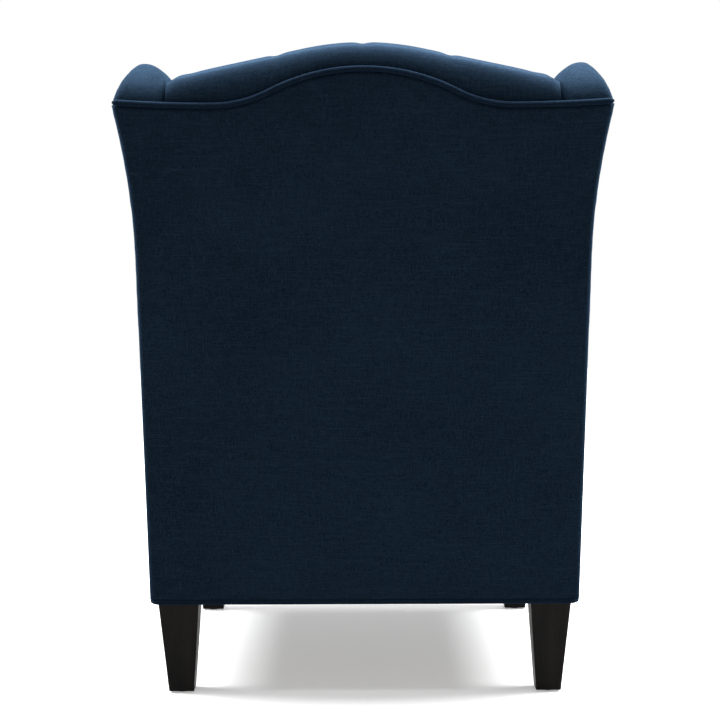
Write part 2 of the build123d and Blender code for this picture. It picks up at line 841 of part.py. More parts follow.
def make_footrest():
    """Padded board on two steel brackets."""
    low, high = footrest_low, footrest_low + footrest_height
    front = footrest_back_y - footrest_board
    board = box(-footrest_half_width, footrest_half_width, front, footrest_back_y, low, high)
    pad = box(-footrest_half_width, footrest_half_width, front - footrest_pad, front, low, high)
    rim = pad.faces().sort_by(Axis.Y)[0].edges()
    pad = fillet(rim, footrest_round)
    reach = (footrest_back_y - plate_width / 2, carrier_pin[1])
    foot = (footrest_back_y - plate_width / 2, tie_pin[1])
    bracket = link([carrier_pin, reach, foot, tie_pin], plate_width, foot_layer)
    web = polygon(carrier_pin, reach, foot, tie_pin)
    bracket += prism_x(web, *foot_layer)
    bracket &= box(0, arm_inner, footrest_back_y, 0, low, high)
    flange_low, flange_high = tie_pin[1] - plate_width / 2, carrier_pin[1] + plate_width / 2
    inner = foot_layer[1] - flange_width
    flange = box(inner, foot_layer[1], footrest_back_y, footrest_back_y + steel, flange_low, flange_high)
    bracket = bracket + flange - hole(carrier_pin) - hole(tie_pin)
    save("footrest_board", board)
    save("footrest_pad", pad)
    save("footrest_brackets", bracket, other_side(bracket))


def make_seat():
    """Hardwood seat frame, webbing and the loose seat cushion."""
    top = seat_well_height
    low = top - seat_rail_height
    front = seat_front_y + seat_frame_setback
    rear = seat_rear_y - seat_frame_setback
    inner = seat_frame_half - seat_rail_width
    side = box(inner, seat_frame_half, front, rear, low, top)
    save("seat_side_rails", side, other_side(side))
    save("seat_front_rail", box(-inner, inner, front, front + seat_rail_width, low, top))
    save("seat_rear_rail", box(-inner, inner, rear - seat_rail_width, rear, low, top))
    pitch = (rear - front) / seat_strap_count
    straps = []
    for i in range(seat_strap_count):
        y = front + (i + 0.5) * pitch
        y0, y1 = y - strap_width / 2, y + strap_width / 2
        straps.append(box(-seat_frame_half, seat_frame_half, y0, y1, top, seat_base))
    save("seat_webbing", *straps)
    crown_z = seat_base + seat_thickness + seat_crown
    cushion = box(-seat_half_width, seat_half_width, seat_front_y, seat_rear_y, seat_base, crown_z)
    cushion &= Pos(0, (seat_front_y + seat_rear_y) / 2, crown_z - seat_dome) * Sphere(seat_dome)
    save("seat_cushion", fillet(cushion.edges(), seat_round))


leg_bolts = make_legs()
make_base(leg_bolts)
make_rear_lower()
make_rear_panel()
make_wings()
make_back_pad(*make_back_frame())
make_base_plate()
make_back_bracket()
make_seat_mechanism()
make_footrest_links()
make_footrest()
make_seat()
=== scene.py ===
import json
import math
import bmesh
import bpy
import numpy as np
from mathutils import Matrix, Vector
from mathutils.bvhtree import BVHTree


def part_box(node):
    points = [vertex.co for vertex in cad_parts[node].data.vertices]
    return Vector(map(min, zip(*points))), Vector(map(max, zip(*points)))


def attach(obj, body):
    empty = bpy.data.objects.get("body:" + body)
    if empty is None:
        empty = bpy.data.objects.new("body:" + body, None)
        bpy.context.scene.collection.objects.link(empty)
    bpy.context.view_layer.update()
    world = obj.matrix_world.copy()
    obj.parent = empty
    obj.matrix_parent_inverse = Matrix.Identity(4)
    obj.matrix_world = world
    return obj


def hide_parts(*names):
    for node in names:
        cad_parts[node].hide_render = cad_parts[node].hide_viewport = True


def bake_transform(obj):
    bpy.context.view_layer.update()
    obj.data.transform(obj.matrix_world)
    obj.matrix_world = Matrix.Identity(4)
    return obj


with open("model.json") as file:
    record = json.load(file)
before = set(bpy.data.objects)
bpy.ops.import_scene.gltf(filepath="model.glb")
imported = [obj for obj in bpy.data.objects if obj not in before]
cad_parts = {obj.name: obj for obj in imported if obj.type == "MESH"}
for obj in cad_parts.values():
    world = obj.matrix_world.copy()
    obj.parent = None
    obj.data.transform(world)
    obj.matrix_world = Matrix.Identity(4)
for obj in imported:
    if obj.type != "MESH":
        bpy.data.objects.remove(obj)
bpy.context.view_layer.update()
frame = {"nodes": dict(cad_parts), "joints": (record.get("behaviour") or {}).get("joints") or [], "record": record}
scene = bpy.context.scene
nodes = frame["nodes"]
pivot = next(j for j in frame["joints"] if j["name"] == "recline")["pos_m"]
print("frame loaded:", len(nodes), "nodes")

# the chair's main lines, in metres: front -Y, up +Z, sitter's left +X
chair = dict(
    rake=math.radians(9.0),     # lean of the rear face
    roundEnd=0.062,             # back pivot to the rear face
    underside=0.146,
    halfLow=0.3415,             # half width at the underside
    lean=math.tan(math.radians(0.45)),
    flare=0.026,
    flareStart=0.690,
    crest=0.971, valley=0.918, corner=0.9235, valleyX=0.225, humpShare=0.62,
    armInside=0.270, armTop=0.604, armRound=0.031,
)
leanS, leanC = math.sin(chair["rake"]), math.cos(chair["rake"])
originY = pivot[1] + chair["roundEnd"] * leanC
originZ = pivot[2] - chair["roundEnd"] * leanS


# point d in front of the rear face and v up its slope from the back pivot
def backPoint(x, v, d):
    x, v, d = np.broadcast_arrays(np.asarray(x, float), v, d)
    return np.stack([x, originY + v * leanS - d * leanC, originZ + v * leanC + d * leanS], -1)


# the way back: x, v and d of points in space
def toBack(co):
    y, z = co[..., 1] - originY, co[..., 2] - originZ
    return co[..., 0], y * leanS + z * leanC, z * leanS - y * leanC


# v of a height, d in front of the rear face
def slopeOf(z, d=0.0):
    return (np.asarray(z, float) - originZ - d * leanS) / leanC


# outside half width at a height: straight lean plus a squared flare above flareStart
def halfWidth(z):
    z = np.asarray(z, float)
    over = np.clip((z - chair["flareStart"]) / (chair["corner"] - chair["flareStart"]), 0, None)
    return chair["halfLow"] + (z - chair["underside"]) * chair["lean"] + chair["flare"] * over ** 2


# camel-back piping, up the slope: convex arc, concave arc, then a gentle bow to the corner
def crestLine(x):
    x = np.abs(np.asarray(x, float))
    top, low, end = slopeOf(chair["crest"]), slopeOf(chair["valley"]), slopeOf(chair["corner"])
    lowX, endX, share = chair["valleyX"], float(halfWidth(chair["corner"])), chair["humpShare"]
    whole = (lowX ** 2 + (top - low) ** 2) / (2 * (top - low))
    hump, dip = share * whole, (1 - share) * whole
    bow = ((endX - lowX) ** 2 + (end - low) ** 2) / (2 * (end - low))
    convex = top - hump + np.sqrt(np.clip(hump ** 2 - x ** 2, 0, None))
    concave = low + dip - np.sqrt(np.clip(dip ** 2 - (lowX - x) ** 2, 0, None))
    bowed = low + bow - np.sqrt(np.clip(bow ** 2 - (x - lowX) ** 2, 0, None))
    return np.where(x < share * lowX, convex, np.where(x < lowX, concave, bowed))


# grid of points to a mesh object: rows along the first axis, closed ways wrap round
def gridMesh(name, points, wrapU=False, wrapV=False, capEnds=False):
    nu, nv = points.shape[:2]
    index = np.arange(nu * nv).reshape(nu, nv)
    a = index if wrapU else index[:-1]
    b = np.roll(index, -1, 0) if wrapU else index[1:]
    if wrapV:
        quads = np.stack([a, b, np.roll(b, -1, 1), np.roll(a, -1, 1)], -1).reshape(-1, 4)
    else:
        quads = np.stack([a[:, :-1], b[:, :-1], b[:, 1:], a[:, 1:]], -1).reshape(-1, 4)
    faces = quads.tolist()
    if capEnds:
        faces += [index[0].tolist(), index[-1][::-1].tolist()]
    mesh = bpy.data.meshes.new(name)
    mesh.from_pydata(points.reshape(-1, 3).tolist(), [], faces)
    mesh.update()
    piece = bpy.data.objects.new(name, mesh)
    scene.collection.objects.link(piece)
    return piece


def shadeSmooth(piece, smooth=True):
    piece.data.polygons.foreach_set("use_smooth", np.full(len(piece.data.polygons), smooth))
    piece.data.update()
    return piece


def facesOut(piece):
    work = bmesh.new()
    work.from_mesh(piece.data)
    bmesh.ops.recalc_face_normals(work, faces=work.faces)
    work.to_mesh(piece.data)
    work.free()
    return piece


# round tube along a path: a circle of given radius carried on a turning frame, open ends drawn in
def tube(name, path, radius, sides=10, closed=False, taper=(0.35, 0.85)):
    path = np.asarray(path, float)
    ahead = np.roll(path, -1, 0) - np.roll(path, 1, 0)
    if not closed:
        ahead[0], ahead[-1] = path[1] - path[0], path[-1] - path[-2]
    ahead /= np.linalg.norm(ahead, axis=1, keepdims=True)
    # no cord runs along this guide
    guide = np.array([0.31, 0.17, 0.93])
    side = np.cross(ahead, guide)
    side /= np.linalg.norm(side, axis=1, keepdims=True)
    up = np.cross(side, ahead)
    angle = np.linspace(0, 2 * math.pi, sides, endpoint=False)
    ring = side[:, None] * np.cos(angle)[:, None] + up[:, None] * np.sin(angle)[:, None]
    radius = np.full((len(path), 1, 1), radius)
    if not closed:
        for k, share in enumerate(taper):
            radius[[k, -1 - k]] *= share
    piece = gridMesh(name, path[:, None] + radius * ring, wrapU=closed, wrapV=True, capEnds=not closed)
    return shadeSmooth(facesOut(piece))


# even steps along a line of points, the ends kept unless it closes
def resample(path, step, closed=False):
    path = np.asarray(path, float)
    if closed:
        path = np.vstack([path, path[:1]])
    run = np.r_[0, np.cumsum(np.linalg.norm(np.diff(path, axis=0), axis=1))]
    fewest = 8
    count = max(fewest, int(run[-1] / step))
    at = np.linspace(0, run[-1], count, endpoint=not closed)
    return np.stack([np.interp(at, run, path[:, k]) for k in range(3)], -1)


# materials: node helpers first
def newMaterial(name):
    material = bpy.data.materials.new(name)
    material.use_nodes = True
    tree = material.node_tree
    tree.nodes.clear()
    shader = tree.nodes.new("ShaderNodeBsdfPrincipled")
    out = tree.nodes.new("ShaderNodeOutputMaterial")
    tree.links.new(shader.outputs[0], out.inputs[0])
    return material, tree, shader


def addNode(tree, kind, **values):
    node = tree.nodes.new(kind)
    for key, value in values.items():
        if key in node.inputs:
            node.inputs[key].default_value = value
        else:
            setattr(node, key, value)
    return node


def stretchedNoise(tree, coords, scale, detail=2.0):
    turn = addNode(tree, "ShaderNodeMapping")
    turn.inputs["Scale"].default_value = scale
    tree.links.new(coords, turn.inputs["Vector"])
    noise = addNode(tree, "ShaderNodeTexNoise", Scale=1.0, Detail=detail, Roughness=0.55)
    tree.links.new(turn.outputs[0], noise.inputs["Vector"])
    return noise.outputs["Fac"]


def mathNode(tree, operation, a, b, clamp=False):
    node = tree.nodes.new("ShaderNodeMath")
    node.operation = operation
    node.use_clamp = clamp
    for slot, value in enumerate((a, b)):
        if isinstance(value, (int, float)):
            node.inputs[slot].default_value = value
        else:
            tree.links.new(value, node.inputs[slot])
    return node.outputs[0]


def mixColour(tree, factor, a, b):
    node = tree.nodes.new("ShaderNodeMix")
    node.data_type = "RGBA"
    tree.links.new(factor, node.inputs[0])
    for slot, value in ((6, a), (7, b)):
        if isinstance(value, tuple):
            node.inputs[slot].default_value = value
        else:
            tree.links.new(value, node.inputs[slot])
    return node.outputs[2]


# how far a value is from its middle, times a gain
def centred(tree, value, middle, gain):
    return mathNode(tree, "MULTIPLY", mathNode(tree, "SUBTRACT", value, middle), gain)


def largest(tree, values):
    top = values[0]
    for value in values[1:]:
        top = mathNode(tree, "MAXIMUM", top, value)
    return top


# noise drawn out along each axis in turn, the brightest kept
def crossThreads(tree, coords, along, across, detail):
    ways = [tuple(along if k == axis else across for k in range(3)) for axis in range(3)]
    return largest(tree, [stretchedNoise(tree, coords, way, detail) for way in ways])


def newGroup(name, inputs, outputs):
    group = bpy.data.node_groups.new(name, "ShaderNodeTree")
    for way, sockets in (("INPUT", inputs), ("OUTPUT", outputs)):
        for key, kind in sockets.items():
            group.interface.new_socket(key, in_out=way, socket_type="NodeSocket" + kind)
    return group, group.nodes.new("NodeGroupInput"), group.nodes.new("NodeGroupOutput")


# plain-woven cloth: threads along each axis, thicker slubs and a slow drift of tone
weaveLook = dict(
    along=70.0, fine=900.0, middle=0.42, gain=2.3,
    slubAlong=18.0, slubFine=380.0, slubGain=1.1, slubHeight=0.5,
    drift=5.0, driftGain=0.5, rough=0.92, roughFall=-0.12,
)


def weaveGroup(p):
    inputs = dict(Dark="Color", Light="Color", Thread="Float")
    outputs = dict(Color="Color", Height="Float", Rough="Float")
    group, source, sink = newGroup("plainWeave", inputs, outputs)
    where = group.nodes.new("ShaderNodeTexCoord")
    sized = addNode(group, "ShaderNodeVectorMath", operation="SCALE")
    group.links.new(where.outputs["Object"], sized.inputs[0])
    group.links.new(source.outputs["Thread"], sized.inputs["Scale"])
    crossed = crossThreads(group, sized.outputs[0], p["along"], p["fine"], 2.0)
    slub = crossThreads(group, sized.outputs[0], p["slubAlong"], p["slubFine"], 1.0)
    drift = stretchedNoise(group, where.outputs["Object"], (p["drift"],) * 3, 3.0)
    tone = centred(group, crossed, p["middle"], p["gain"])
    tone = mathNode(group, "ADD", tone, centred(group, slub, 0.5, p["slubGain"]))
    tone = mathNode(group, "ADD", tone, centred(group, drift, 0.5, p["driftGain"]), True)
    colour = mixColour(group, tone, source.outputs["Dark"], source.outputs["Light"])
    group.links.new(colour, sink.inputs["Color"])
    height = mathNode(group, "ADD", crossed, mathNode(group, "MULTIPLY", slub, p["slubHeight"]))
    group.links.new(height, sink.inputs["Height"])
    rough = mathNode(group, "ADD", mathNode(group, "MULTIPLY", tone, p["roughFall"]), p["rough"])
    group.links.new(rough, sink.inputs["Rough"])
    return group


# straight grain along Z: slow streaks and fine pores
grainLook = dict(
    streak=(55.0, 55.0, 4.0), middle=0.33, gain=2.4,
    pore=(650.0, 650.0, 22.0), poreGain=0.9, poreHeight=0.6,
)


def grainGroup(p):
    inputs, outputs = dict(Dark="Color", Light="Color"), dict(Color="Color", Height="Float")
    group, source, sink = newGroup("straightGrain", inputs, outputs)
    where = group.nodes.new("ShaderNodeTexCoord")
    streak = stretchedNoise(group, where.outputs["Object"], p["streak"], 4.0)
    pores = stretchedNoise(group, where.outputs["Object"], p["pore"], 2.0)
    tone = centred(group, streak, p["middle"], p["gain"])
    tone = mathNode(group, "ADD", tone, centred(group, pores, 0.5, p["poreGain"]), True)
    colour = mixColour(group, tone, source.outputs["Dark"], source.outputs["Light"])
    group.links.new(colour, sink.inputs["Color"])
    height = mathNode(group, "ADD", mathNode(group, "MULTIPLY", pores, p["poreHeight"]), streak)
    group.links.new(height, sink.inputs["Height"])
    return group


weave = weaveGroup(weaveLook)
grain = grainGroup(grainLook)


def placeGroup(tree, group, **values):
    node = tree.nodes.new("ShaderNodeGroup")
    node.node_tree = group
    for key, value in values.items():
        node.inputs[key].default_value = value
    return node


def bumpFrom(tree, height, shader, strength, distance):
    bump = addNode(tree, "ShaderNodeBump", Strength=strength, Distance=distance)
    tree.links.new(height, bump.inputs["Height"])
    tree.links.new(bump.outputs[0], shader.inputs["Normal"])


def clothMaterial(name, dark, light, thread, sheen, bump):
    material, tree, shader = newMaterial(name)
    cloth = placeGroup(tree, weave, Dark=dark, Light=light, Thread=thread)
    tree.links.new(cloth.outputs["Color"], shader.inputs["Base Color"])
    tree.links.new(cloth.outputs["Rough"], shader.inputs["Roughness"])
    bumpFrom(tree, cloth.outputs["Height"], shader, bump, distance=0.0006)
    shader.inputs["Specular IOR Level"].default_value = 0.02
    shader.inputs["Sheen Weight"].default_value = sheen
    shader.inputs["Sheen Roughness"].default_value = 0.45
    shader.inputs["Sheen Tint"].default_value = (0.15, 0.42, 0.85, 1)
    return material


def woodMaterial(name, dark, light, rough, gloss, bump):
    material, tree, shader = newMaterial(name)
    wood = placeGroup(tree, grain, Dark=dark, Light=light)
    tree.links.new(wood.outputs["Color"], shader.inputs["Base Color"])
    bumpFrom(tree, wood.outputs["Height"], shader, bump, distance=0.0004)
    shader.inputs["Roughness"].default_value = rough
    shader.inputs["Specular IOR Level"].default_value = gloss
    return material


# powder coat or moulded plastic: fine orange peel with a little tone and gloss change
def coatedMaterial(name, colour, rough, metal, speckle, bump):
    material, tree, shader = newMaterial(name)
    where = tree.nodes.new("ShaderNodeTexCoord")
    drift, shade, spread = 14.0, 0.7, 0.2
    peel = stretchedNoise(tree, where.outputs["Object"], (speckle,) * 3, 3.0)
    slow = stretchedNoise(tree, where.outputs["Object"], (drift,) * 3, 3.0)
    darker = tuple(shade * c for c in colour[:3]) + (1,)
    tree.links.new(mixColour(tree, slow, darker, colour), shader.inputs["Base Color"])
    gloss = mathNode(tree, "ADD", mathNode(tree, "MULTIPLY", slow, spread), rough - spread / 2)
    tree.links.new(gloss, shader.inputs["Roughness"])
    bumpFrom(tree, peel, shader, bump, distance=0.0003)
    shader.inputs["Metallic"].default_value = metal
    return material


navyCloth = clothMaterial(
    "navyCloth", dark=(0.0056, 0.0122, 0.0245, 1), light=(0.0220, 0.0460, 0.079, 1),
    thread=1.0, sheen=0.07, bump=0.55,
)
# the cover's cloth again, its colours about a quarter darker: painted shade on the welts, buttons and piping
weltClothPaintedShade = clothMaterial(
    "weltClothPaintedShade", dark=(0.0044, 0.0098, 0.021, 1), light=(0.0165, 0.0345, 0.061, 1),
    thread=1.3, sheen=0.05, bump=0.5,
)
webCloth = clothMaterial(
    "webCloth", dark=(0.05, 0.045, 0.04, 1), light=(0.16, 0.15, 0.13, 1), thread=0.6, sheen=0.05, bump=0.6,
)
espresso = woodMaterial(
    "espressoWood", dark=(0.0055, 0.0052, 0.0050, 1), light=(0.0165, 0.0142, 0.0125, 1),
    rough=0.42, gloss=0.05, bump=0.12,
)
rawWood = woodMaterial(
    "rawWood", dark=(0.33, 0.21, 0.11, 1), light=(0.62, 0.45, 0.27, 1), rough=0.72, gloss=0.25, bump=0.3,
)
blackSteel = coatedMaterial(
    "blackSteel", colour=(0.045, 0.046, 0.05, 1), rough=0.45, metal=0.6, speckle=900.0, bump=0.15,
)
glidePlastic = coatedMaterial(
    "glidePlastic", colour=(0.03, 0.03, 0.03, 1), rough=0.55, metal=0.0, speckle=600.0, bump=0.1,
)


def dress(piece, material):
    piece.data.materials.clear()
    piece.data.materials.append(material)


print("materials ready")

# rear cloth: one flat cover from the bottom welt to the crest piping, folded round both side edges
rearCloth = dict(
    fold=0.009, crown=0.0025, square=6, rim=0.02, across=150, up=150, wrap=9, passes=6, thick=0.0022,
    bottomWelt=0.009, ripple=0.0006, waveX=9.0 / 0.35, waveV=3.1 / 0.4, waveUp=5.3 / 0.4, phase=1.0,
    bendBelow=0.045, bendAbove=0.02,
)


def makeRearCloth(p):
    lowV = float(slopeOf(chair["underside"] + p["bottomWelt"]))
    s = np.linspace(-1, 1, p["across"])
    turn = np.linspace(0, math.pi / 2, p["wrap"] + 1)[1:]
    s = np.r_[-np.ones(p["wrap"]), s, np.ones(p["wrap"])]
    bend = np.r_[turn[::-1], np.zeros(p["across"]), turn]
    t = np.linspace(0, 1, p["up"])[:, None]
    # width and top both depend on place, so v is settled in a few passes
    v = lowV + t * (crestLine(0) - lowV) + 0 * s
    for _ in range(p["passes"]):
        wide = halfWidth(originZ + v * leanC)
        x = s * (wide - p["fold"]) + np.sign(s) * p["fold"] * np.sin(bend)
        v = lowV + t * (crestLine(x) - lowV)
    inner = np.clip(t, p["rim"], 1 - p["rim"])
    swell = np.clip(1 - np.abs(s) ** p["square"], 0, 1) * np.sqrt(np.sin(math.pi * inner))
    ripple = p["ripple"] * np.sin(p["waveX"] * x + p["waveV"] * v) * np.sin(p["waveUp"] * v + p["phase"])
    d = p["fold"] * (1 - np.cos(bend)) - p["crown"] * swell + ripple * swell
    points = backPoint(x, v, d)
    piece = gridMesh("rearCloth", points)
    facesOut(piece)
    solid = piece.modifiers.new("thickness", "SOLIDIFY")
    solid.thickness = p["thick"]
    solid.offset = -1
    du, dv = np.diff(points, axis=1)[:-1], np.diff(points, axis=0)[:, :-1]
    area = float(np.linalg.norm(np.cross(du, dv), axis=-1).sum())
    return shadeSmooth(piece), area


rearPiece, rearArea = makeRearCloth(rearCloth)
dress(rearPiece, navyCloth)
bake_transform(rearPiece)
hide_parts("outside_back_panel", "rear_lower_panel")
print("rear cloth", round(rearArea, 3), "m2")

# welts: cord covered in the same cloth, its colours painted darker as shade, along the crest and the bottom edge
welts = dict(
    radius=0.0047, sink=0.0018, lift=0.0052, step=0.004, endGap=0.0015, lowGap=0.003,
    crestPoints=240, lowPoints=120,
)


def makeWelts(p):
    endX = float(halfWidth(chair["corner"])) - p["endGap"]
    x = np.linspace(-endX, endX, p["crestPoints"])
    crest = backPoint(x, crestLine(x) + p["lift"], p["sink"])
    top = tube("crestWelt", resample(crest, p["step"]), p["radius"])
    z = chair["underside"] + p["radius"]
    half = float(halfWidth(z)) - p["lowGap"]
    across = np.linspace(-half, half, p["lowPoints"])
    low = tube("bottomWelt", backPoint(across, float(slopeOf(z)), p["sink"]), p["radius"])
    for piece, body, node in ((top, "back", "crest_welt"), (low, "base", "rear_bottom_welt")):
        dress(piece, weltClothPaintedShade)
        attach(piece, body)
        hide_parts(node)


makeWelts(welts)
print("welts done")

# legs: a rounded square carried from the glide up to the body, drawn in towards the foot
legs = dict(top=0.064, bottom=0.040, footIn=0.002, round=0.0025, levels=14, ring=8)


def roundedSquare(size, radius, ring):
    turn = np.linspace(0, math.pi / 2, ring)
    corner = np.stack([np.cos(turn), np.sin(turn)], -1) * radius + size / 2 - radius
    flips = np.array([[1, 1], [-1, 1], [-1, -1], [1, -1]])
    parts = [corner[:: int(f[0] * f[1])] * f for f in flips]
    return np.vstack(parts)


def makeLeg(node, p):
    low, high = (np.array(c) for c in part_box(node))
    outward = 1 if low[0] > 0 else -1
    topX = (low[0] + high[0]) / 2
    footX = topX - p["footIn"] * outward
    y = (low[1] + high[1]) / 2
    share = np.linspace(0, 1, p["levels"])
    rings = []
    for k in share:
        outline = roundedSquare(p["bottom"] + k * (p["top"] - p["bottom"]), p["round"], p["ring"])
        x = footX + k * (topX - footX)
        z = low[2] + k * (high[2] - low[2])
        rings.append(np.c_[outline + [x, y], np.full(len(outline), z)])
    piece = gridMesh("wood" + node.title().replace("_", ""), np.array(rings), wrapV=True, capEnds=True)
    shadeSmooth(facesOut(piece), False)
    dress(piece, espresso)
    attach(piece, "base")
    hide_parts(node)


for place in ("leg_front_left", "leg_front_right", "leg_rear_left", "leg_rear_right"):
    makeLeg(place, legs)
print("legs done")


# soft pieces: a mesh with its modifiers applied
def evaluated(piece):
    mesh = bpy.data.meshes.new_from_object(piece.evaluated_get(bpy.context.evaluated_depsgraph_get()))
    piece.modifiers.clear()
    old = piece.data
    piece.data = mesh
    bpy.data.meshes.remove(old)
    return piece


def coordsOf(piece):
    flat = np.empty(3 * len(piece.data.vertices))
    piece.data.vertices.foreach_get("co", flat)
    return flat.reshape(-1, 3)


def setCoords(piece, co):
    piece.data.vertices.foreach_set("co", np.ascontiguousarray(co).ravel())
    piece.data.update()


# foam under cloth from a plain solid: even small faces, softened edges, a little swell
def softCopy(node, name, voxel, smooth, swell):
    piece = bpy.data.objects.new(name, nodes[node].data.copy())
    scene.collection.objects.link(piece)
    grid = piece.modifiers.new("grid", "REMESH")
    grid.mode = "VOXEL"
    grid.voxel_size = voxel
    soften = piece.modifiers.new("soften", "SMOOTH")
    soften.factor = 0.5
    soften.iterations = smooth
    push = piece.modifiers.new("swell", "DISPLACE")
    push.strength = swell
    push.mid_level = 0
    return evaluated(piece)


# stuffing: cloth under pressure for a few frames, no point moved further than cap
def inflate(piece, pressure, cap, frames=20):
    start = coordsOf(piece)
    cloth = piece.modifiers.new("stuffing", "CLOTH")
    cloth.settings.use_pressure = True
    cloth.settings.uniform_pressure_force = pressure
    cloth.settings.effector_weights.gravity = 0
    cloth.collision_settings.use_collision = False
    cloth.point_cache.frame_start = 1
    cloth.point_cache.frame_end = frames
    for step in range(1, frames + 1):
        scene.frame_set(step)
    evaluated(piece)
    scene.frame_set(1)
    moved = coordsOf(piece) - start
    length = np.linalg.norm(moved, axis=1, keepdims=True)
    setCoords(piece, start + moved * np.minimum(1, cap / np.maximum(length, 1e-9)))
    return piece


def finishSoft(piece, body, node, levels=1):
    if levels:
        fine = piece.modifiers.new("fine", "SUBSURF")
        fine.levels = fine.render_levels = levels
    shadeSmooth(piece)
    dress(piece, navyCloth)
    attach(piece, body)
    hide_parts(node)
    return piece


# several meshes into the first one
def joined(first, *others):
    with bpy.context.temp_override(active_object=first, selected_editable_objects=[first, *others]):
        bpy.ops.object.join()
    return first


# back pad: buttons on a staggered grid, with pleats where across + up or across - up is even
tuft = dict(
    columnHalf=0.066, row=0.085, drop=0.0695, rows=4, puff=0.011, valley=0.011, sharp=0.55, pleatWide=0.22,
    dimple=0.010, dimpleWide=0.014, fadeIn=-0.004, fadeOut=0.030,
    calm=0.8, calmFrom=0.03, calmTo=0.15, side=0.7, sideFrom=0.225, sideTo=0.285,
)
tuftTop = float(slopeOf(chair["crest"])) - tuft["drop"]


def buttonPlaces(p):
    places = []
    for row in range(p["rows"]):
        columns = (-2, 0, 2) if row % 2 == 0 else (-3, -1, 1, 3)
        places += [(k * p["columnHalf"], tuftTop - row * p["row"]) for k in columns]
    return np.array(places)


def easeStep(value, low, high):
    t = np.clip((value - low) / (high - low), 0, 1)
    return t * t * (3 - 2 * t)


# forward swell of the tufted face: diamond puffs between pleats, upright pleats above and below
def tuftSwell(x, v, p):
    v = np.asarray(v, float)
    across, up = x / p["columnHalf"], (v - tuftTop) / p["row"]
    quarter = math.pi / 2
    diamond = np.abs(np.sin(quarter * (across + up)) * np.sin(quarter * (across - up))) ** p["sharp"]
    upper = 1 - np.exp(-(np.sin(quarter * across) / p["pleatWide"]) ** 2)
    lower = 1 - np.exp(-(np.cos(quarter * across) / p["pleatWide"]) ** 2)
    beyond, short = v - tuftTop, tuftTop - (p["rows"] - 1) * p["row"] - v
    above = easeStep(beyond, p["fadeIn"], p["fadeOut"])
    below = easeStep(short, p["fadeIn"], p["fadeOut"])
    swell = diamond * (1 - above) * (1 - below) + upper * above + lower * below
    swell = swell + (p["calm"] - swell) * easeStep(short, p["calmFrom"], p["calmTo"])
    swell = swell + (p["side"] - swell) * easeStep(np.abs(x), p["sideFrom"], p["sideTo"])
    depth = p["puff"] * swell - p["valley"] * (1 - swell)
    for bx, bv in buttonPlaces(p):
        depth = depth - p["dimple"] * np.exp(-((x - bx) ** 2 + (v - bv) ** 2) / p["dimpleWide"] ** 2)
    return depth


pad = dict(
    flat=0.150, lumbar=0.042, lumbarV=0.110, lumbarHalf=0.260, edge=0.2945, bunch=1.25,
    rise=0.038, humpX=0.090, fall=math.radians(11.7), frontRound=0.046, rearRound=0.028, rearShare=0.85,
    inside=0.006, hollow=0.046, lowRound=0.012, bottom=0.4780, seamTuck=0.004, slot=0.1135,
    sideRound=0.020, sideDrop=0.004, sideSink=0.018, sinkFrom=0.13, sinkTo=0.05,
    armClear=0.006, armStep=0.004, topPleat=0.06, pleatAbove=0.05, pleatFade=0.45, rearPleat=0.5,
    columns=190, faceSteps=150, roundSteps=14, topSteps=8, downSteps=6, fill=0.8,
)


# front of the pad from the rear face: flat with a squared-cosine lumbar swell
def padFront(v, p):
    reach = np.clip(np.abs(np.asarray(v, float) - p["lumbarV"]) / p["lumbarHalf"], 0, 1)
    return p["flat"] + p["lumbar"] * np.cos(math.pi / 2 * reach) ** 2


# top line of the roll: round hump, then a straight fall to the wings
def rollTop(x, p):
    x = np.abs(x)
    radius = p["humpX"] / math.sin(p["fall"])
    hump = radius - np.sqrt(radius ** 2 - np.minimum(x, p["humpX"]) ** 2)
    run = np.clip(x - p["humpX"], 0, None)
    return slopeOf(chair["crest"]) + p["rise"] - hump - run * math.tan(p["fall"])


# distance to an arm's section, whose inner top edge is an arc
def fromArm(x, z):
    inward = chair["armInside"] + chair["armRound"] - np.abs(x)
    over = z - chair["armTop"] + chair["armRound"]
    return np.hypot(np.clip(inward, 0, None), np.clip(over, 0, None)) - chair["armRound"]


